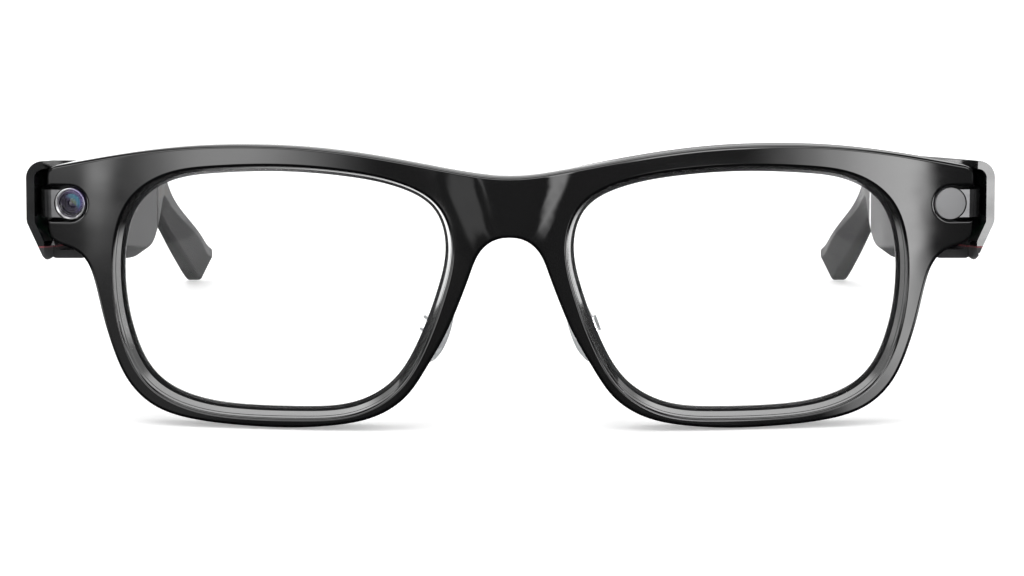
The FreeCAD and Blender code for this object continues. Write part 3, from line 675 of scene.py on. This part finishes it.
def plastics():
    """Polished, satin and soft-touch mouldings, and the gasket in the seam."""
    return {
        "gloss_front": gloss("polished_black", (0.0022, 0.0022, 0.0024), (0.035, 0.075), 0.05),
        # The rear shell is the front's black plastic with a lighter base colour: painted light on its lip,
        # which lies in the front shell's shade.
        "gloss_rear_painted_light": gloss("polished_black_rear_painted_light", (0.026, 0.026, 0.027), (0.05, 0.11), 0.05),
        "temple": gloss("polished_temple", (0.0035, 0.0035, 0.0038), (0.09, 0.17), 0.06),
        "button_black": gloss("button_gloss", (0.004, 0.004, 0.004), (0.12, 0.2), 0.05),
        "satin": surfaced("satin_cover", (0.034, 0.034, 0.035), (0.046, 0.046, 0.048), (0.44, 0.54),
                          2600, (0.12, 0.0002), Specular_IOR_Level=0.12),
        "tip": surfaced("soft_touch_tip", (0.018, 0.018, 0.019), (0.026, 0.026, 0.027), (0.46, 0.60),
                        1900, (0.18, 0.0003), Specular_IOR_Level=0.3),
        "gasket": surfaced("seam_gasket", (0.10, 0.012, 0.018), (0.15, 0.02, 0.028), (0.4, 0.55),
                           1500, (0.1, 0.0001)),
        "moulded": surfaced("moulded_black", (0.014, 0.014, 0.015), (0.022, 0.022, 0.023), (0.4, 0.55),
                            1700, (0.15, 0.0002)),
        "indicator": surfaced("indicator_diffuser", (0.215, 0.215, 0.22), (0.235, 0.235, 0.24),
                              (0.5, 0.6), 3200, (0.06, 0.0001)),
    }


def metals():
    """The bent straps, turned steel, the button's ridges, the grilles and the contacts."""
    return {
        "strap": surfaced("strap_metal", (0.055, 0.055, 0.057), (0.075, 0.075, 0.077), (0.05, 0.08),
                          900, (0.015, 0.0001), (1, 1, 14), Metallic=0.8),
        "steel": surfaced("turned_steel", (0.42, 0.42, 0.43), (0.52, 0.52, 0.53), (0.22, 0.36),
                          1400, (0.08, 0.0001), (1, 1, 9), Metallic=1.0),
        "button_silver": surfaced("button_silver", (0.45, 0.45, 0.46), (0.6, 0.6, 0.62), (0.25, 0.38),
                                  1800, (0.1, 0.0001), (9, 1, 1), Metallic=1.0),
        "grille": surfaced("grille_metal", (0.05, 0.05, 0.052), (0.08, 0.08, 0.082), (0.3, 0.4),
                           2500, (0.15, 0.0002), Metallic=0.9),
        "gold": surfaced("contact_gold", (0.70, 0.50, 0.18), (0.82, 0.60, 0.26), (0.18, 0.3),
                         1300, (0.06, 0.0001), Metallic=1.0),
    }


def inner_finishes():
    """Circuit boards, battery foil and the flat cable's film."""
    return {
        "board": surfaced("solder_mask", (0.006, 0.06, 0.025), (0.012, 0.10, 0.045), (0.3, 0.5),
                          900, (0.2, 0.0002)),
        "foil": surfaced("battery_foil", (0.45, 0.45, 0.46), (0.55, 0.55, 0.56), (0.3, 0.45),
                         500, (0.2, 0.0003), Metallic=1.0),
        "film": surfaced("polyimide_film", (0.30, 0.13, 0.02), (0.40, 0.18, 0.03), (0.3, 0.4),
                         700, (0.1, 0.0001)),
    }


def clear_finishes():
    """The lenses and the nose pads."""
    return {
        "lens": surfaced("clear_lens", (0.95, 0.97, 0.97), (0.97, 0.985, 0.985), (0.0, 0.02),
                         40, (0.01, 0.0001), Alpha=0.02, IOR=1.5, Transmission_Weight=1.0),
        "silicone": surfaced("clear_silicone", (0.50, 0.51, 0.52), (0.60, 0.61, 0.62), (0.24, 0.36),
                             1200, (0.06, 0.0002), Transmission_Weight=0.6, IOR=1.41),
    }


def camera_finishes():
    """Ringed metal and glass, each with a painted reflection towards the upper right (a glint on the
    pupil), and the cover with its painted reflections.
    """
    bezel = surfaced("bezel_rings", (0.4, 0.4, 0.4), (0.5, 0.5, 0.5), (0.20, 0.30),
                     900, (0.004, 0.00005), Metallic=0.7)
    # The darkest rings paint the shade in the grooves between the bezel's steps.
    bezel.banded([(1.50, 0.004), (1.58, 0.03), (1.66, 0.07), (1.74, 0.008), (1.84, 0.006), (1.92, 0.10),
                  (2.04, 0.16), (2.10, 0.02), (2.15, 0.03), (2.22, 0.62), (2.42, 0.70), (2.5, 0.3)])
    # The violet towards the upper right is a painted reflection.
    bezel.overlay(bezel.upper_right(1.1, 2.6), (0.16, 0.13, 0.28))
    barrel = surfaced("blackened_barrel", (0.01, 0.01, 0.01), (0.02, 0.02, 0.02), (0.24, 0.36),
                      2000, (0.02, 0.0001), Specular_IOR_Level=0.12)
    barrel.banded([(0.78, 0.01), (0.92, 0.006), (0.98, 0.10), (1.05, 0.012), (1.22, 0.006), (1.30, 0.09),
                   (1.38, 0.008), (1.52, 0.006)])
    # The teal towards the upper right is a painted reflection.
    barrel.overlay(barrel.upper_right(0.25, 1.3), (0.0, 0.22, 0.24))
    pupil = surfaced("pupil_glass", (0.03, 0.03, 0.03), (0.05, 0.05, 0.05), (0.06, 0.12),
                     300, (0.005, 0.0001), Specular_IOR_Level=0.25)
    # Lighter in the middle and darker towards the rim: painted shading of the dome.
    pupil.banded([(0.0, 0.06), (0.40, 0.03), (0.62, 0.008), (PUPIL_RADIUS, 0.003)])
    # The yellow-green spot towards the upper right is a painted glint.
    pupil.overlay(pupil.upper_right(0.18, 0.55), (0.16, 0.22, 0.03))
    return {"bezel": bezel, "barrel": barrel, "pupil": pupil, "painted_reflection_cover": painted_reflection_cover()}


def build_materials():
    """Every material, by the name of its look."""
    shades = {**plastics(), **metals(), **inner_finishes(), **clear_finishes(), **camera_finishes()}
    return {look: shade.material for look, shade in shades.items()}


LOOKS = build_materials()
wear("lens", *both("lens"))
wear("strap", *both("hinge_strap"))
wear("steel", *both("hinge_pin"), "frame_screws", *both("nose_pad_arm"), *both("temple_hinge"),
     *both("hinge_screws"), *both("temple_core"), *both("microphone"))
wear("temple", *both("temple_shell"))
wear("satin", *both("temple_cover"))
wear("gasket", *both("temple_gasket"))
wear("tip", *both("temple_tip"))
wear("board", "camera_sensor_board", "indicator_led_board", *both("circuit_board"))
wear("foil", *both("battery"))
wear("film", "brow_flex_cable")
wear("moulded", *both("speaker"), "charge_plate", "button_switch")
wear("grille", *both("speaker_grille"))
wear("gold", "charge_contacts")
wear("button_black", "side_button")
wear("button_silver", "side_button_ridges")

build_front_shell()
build_rear_shell()
build_camera()
build_indicator()
build_nose_pad(1, "left")
build_nose_pad(-1, "right")


# ---------------------------------------------------------------- studio
class Studio:
    """The world: even white for the camera and for soft light, and softboxes for reflections."""

    def __init__(self):
        world = bpy.data.worlds.new("studio")
        bpy.context.scene.world = world
        world.use_nodes = True
        self.tree = world.node_tree
        self.tree.nodes.clear()
        place = self.tree.nodes.new("ShaderNodeTexCoord")
        split = self.tree.nodes.new("ShaderNodeSeparateXYZ")
        self.tree.links.new(place.outputs["Generated"], split.inputs[0])
        back = self.math("MULTIPLY", split.outputs["Y"], -1.0)
        self.azimuth = self.math("MULTIPLY", self.math("ARCTAN2", split.outputs["X"], back), 180 / math.pi)
        self.elevation = self.math("MULTIPLY", self.math("ARCSINE", split.outputs["Z"]), 180 / math.pi)
        self.total = None

    def math(self, operation, first, second=None):
        """One Math node, from numbers or sockets."""
        made = self.tree.nodes.new("ShaderNodeMath")
        made.operation = operation
        for socket, value in ((made.inputs[0], first), (made.inputs[1], second)):
            if value is None:
                continue
            if isinstance(value, (int, float)):
                socket.default_value = value
            else:
                self.tree.links.new(value, socket)
        return made.outputs[0]

    def ramp(self, value, start, end):
        """0 at start and 1 at end, smoothly, whichever of them is larger."""
        ranged = self.tree.nodes.new("ShaderNodeMapRange")
        ranged.interpolation_type = "SMOOTHSTEP"
        low, high = (0, 1) if start < end else (1, 0)
        for socket, number in (("From Min", min(start, end)), ("From Max", max(start, end)),
                               ("To Min", low), ("To Max", high)):
            ranged.inputs[socket].default_value = number
        self.tree.links.new(value, ranged.inputs["Value"])
        return ranged.outputs["Result"]

    def softbox(self, strength, azimuth, elevation):
        """A soft rectangle of light: each range is (dark, bright, bright, dark), in degrees.

        Azimuth is 0 straight in front and rises towards the wearer's left. None means all round.
        """
        value = strength
        for angle, edges in ((self.azimuth, azimuth), (self.elevation, elevation)):
            if edges:
                dark_low, bright_low, bright_high, dark_high = edges
                value = self.math("MULTIPLY", self.ramp(angle, dark_low, bright_low), value)
                value = self.math("MULTIPLY", self.ramp(angle, dark_high, bright_high), value)
        self.total = value if self.total is None else self.math("ADD", self.total, value)

    def finish(self, background, backdrop):
        """Softboxes are seen in reflections only; everything else meets the even background."""
        paths = self.tree.nodes.new("ShaderNodeLightPath")
        gloss_only = self.math("MULTIPLY", paths.outputs["Is Glossy Ray"], self.total)
        seen = self.math("ADD", self.math("MULTIPLY", paths.outputs["Is Camera Ray"], backdrop), background)
        rest = self.math("MULTIPLY", self.math("SUBTRACT", 1.0, paths.outputs["Is Glossy Ray"]), seen)
        shader = self.tree.nodes.new("ShaderNodeBackground")
        self.tree.links.new(self.math("ADD", gloss_only, rest), shader.inputs["Strength"])
        output = self.tree.nodes.new("ShaderNodeOutputWorld")
        self.tree.links.new(shader.outputs[0], output.inputs["Surface"])


studio = Studio()
# In front on the wearer's left: a broad box that ends sharply, and its lower part, for the rims.
studio.softbox(12.0, (16.5, 31.0, 29.8, 31.8), (-5.6, -3.9, 4, 8))
studio.softbox(9.0, (23, 26, 29.8, 31.8), (-8.8, -6.2, -5.6, -3.9))
# In front on the right: a softer box, a narrow strip beside it and a dim surround.
studio.softbox(6.6, (-31.5, -22.5, -21.0, -10.0), (-4.7, -2.5, 4, 8))
studio.softbox(4.6, (-33.4, -31.9, -31.4, -30.0), (-5.0, -2.2, 4, 8))
studio.softbox(1.6, (-50, -46, -32, -28), (-3.9, -2.1, 4, 8))
studio.softbox(0.4, (-40, -33, -26, -20), (-14, -9, -5, -3))
# Strips that only the bridge's flanks catch.
FLANK_BAND = (-7.2, -6.4, -4.4, -3.2)
studio.softbox(5.5, (9, 11, 15, 18), FLANK_BAND)
studio.softbox(1.2, (-15, -12.5, -9.5, -8), FLANK_BAND)
studio.softbox(5.5, (-6.2, -5.2, -4.7, -3.7), (-3.5, -2.7, 0, 2))
# The temples' front ends: lit on the wearer's left, dark on the right.
studio.softbox(18.0, (6, 9, 16, 20), (1.0, 2.5, 9, 13))
# All round: a faint fill, a bright band above the horizon in front and at the sides, and one overhead.
studio.softbox(0.28, None, (-20, 0, 30, 60))
studio.softbox(5.0, (-125, -100, 100, 125), (14, 20, 34, 42))
studio.softbox(6.0, None, (58, 74, 91, 95))
# At the two sides, low down.
SIDE_BAND = (-20, -10, 8, 14)
studio.softbox(10.0, (52, 75, 112, 125), SIDE_BAND)
studio.softbox(5.0, (-125, -112, -75, -52), SIDE_BAND)
# Behind: a dim wash, a brighter strip across it, and low boxes that the walls of the openings reflect.
for wash, strip in (((95, 130, 181, 185), (120, 140, 181, 185)),
                    ((-185, -181, -130, -95), (-185, -181, -140, -120))):
    studio.softbox(0.6, wash, (-4, 4, 30, 45))
    studio.softbox(2.2, strip, (14, 22, 34, 42))
LOW_BAND = (-19, -13, 0, 6)
studio.softbox(2.4, (-185, -181, -165, -150), (-20, -14, 0, 6))
studio.softbox(1.8, (110, 125, 162, 172), LOW_BAND)
studio.softbox(0.8, (-172, -162, -125, -110), LOW_BAND)
studio.finish(background=1.0, backdrop=0.25)


def build_key_light():
    """A large soft light overhead, which reflections leave out."""
    middle = (cad_box[0] + cad_box[1]) / 2
    light = bpy.data.lights.new("overhead_softbox", "AREA")
    light.shape = "RECTANGLE"
    light.size, light.size_y = 0.9, 0.6
    light.energy = 3.0
    holder = bpy.data.objects.new("overhead_softbox", light)
    bpy.context.scene.collection.objects.link(holder)
    offset = Vector((-0.25, -0.15, 0.8))
    holder.location = middle + offset
    holder.rotation_euler = (-offset).to_track_quat("-Z", "Y").to_euler()
    holder.visible_glossy = False


FLOOR_SIZE, FLOOR_GAP = 12, 0.0001      # metres


def build_floor():
    """A pale floor under the rims and the temple tips."""
    bpy.ops.mesh.primitive_plane_add(size=FLOOR_SIZE, location=(0, 0, cad_box[0].z - FLOOR_GAP))
    floor = bpy.context.object
    floor.name = "studio_floor"
    shade = Shade("pale_floor")
    shade.join(shade.tint(shade.noise(3, 3.0), (0.93, 0.93, 0.93), (0.96, 0.96, 0.96)),
               shade.shader.inputs["Base Color"])
    shade.set(Roughness=0.9, Emission_Color=(1, 1, 1, 1), Emission_Strength=0.35)
    floor.data.materials.append(shade.material)
    floor.visible_glossy = False


build_key_light()
build_floor()

# ---------------------------------------------------------------- camera
DISTANCE = 0.4                          # metres
RISE, SIDESTEP = 0.000734, 0.00041      # metres, from the middle of the face
PITCH, YAW = math.radians(9.4), math.radians(0.5)
FOCAL_LENGTH, SENSOR_WIDTH = 90, 36     # millimetres


def build_view():
    """Just above the brow, looking a little down at the front."""
    right = Vector((math.cos(YAW), math.sin(YAW) * math.cos(PITCH), -math.sin(YAW) * math.sin(PITCH)))
    ahead = Vector((-math.sin(YAW), math.cos(YAW) * math.cos(PITCH), -math.cos(YAW) * math.sin(PITCH)))
    up = right.cross(ahead)
    data = bpy.data.cameras.new("view")
    data.lens = FOCAL_LENGTH
    data.sensor_width = SENSOR_WIDTH
    data.clip_start = 0.01
    data.dof.use_dof = False
    view = bpy.data.objects.new("view", data)
    bpy.context.scene.collection.objects.link(view)
    turn = Matrix((right, up, -ahead)).transposed()
    view.rotation_euler = turn.to_euler()
    view.location = FACE_MIDDLE + right * SIDESTEP + up * RISE - ahead * DISTANCE
    bpy.context.scene.camera = view


build_view()
bpy.context.scene.view_settings.view_transform = "Standard"
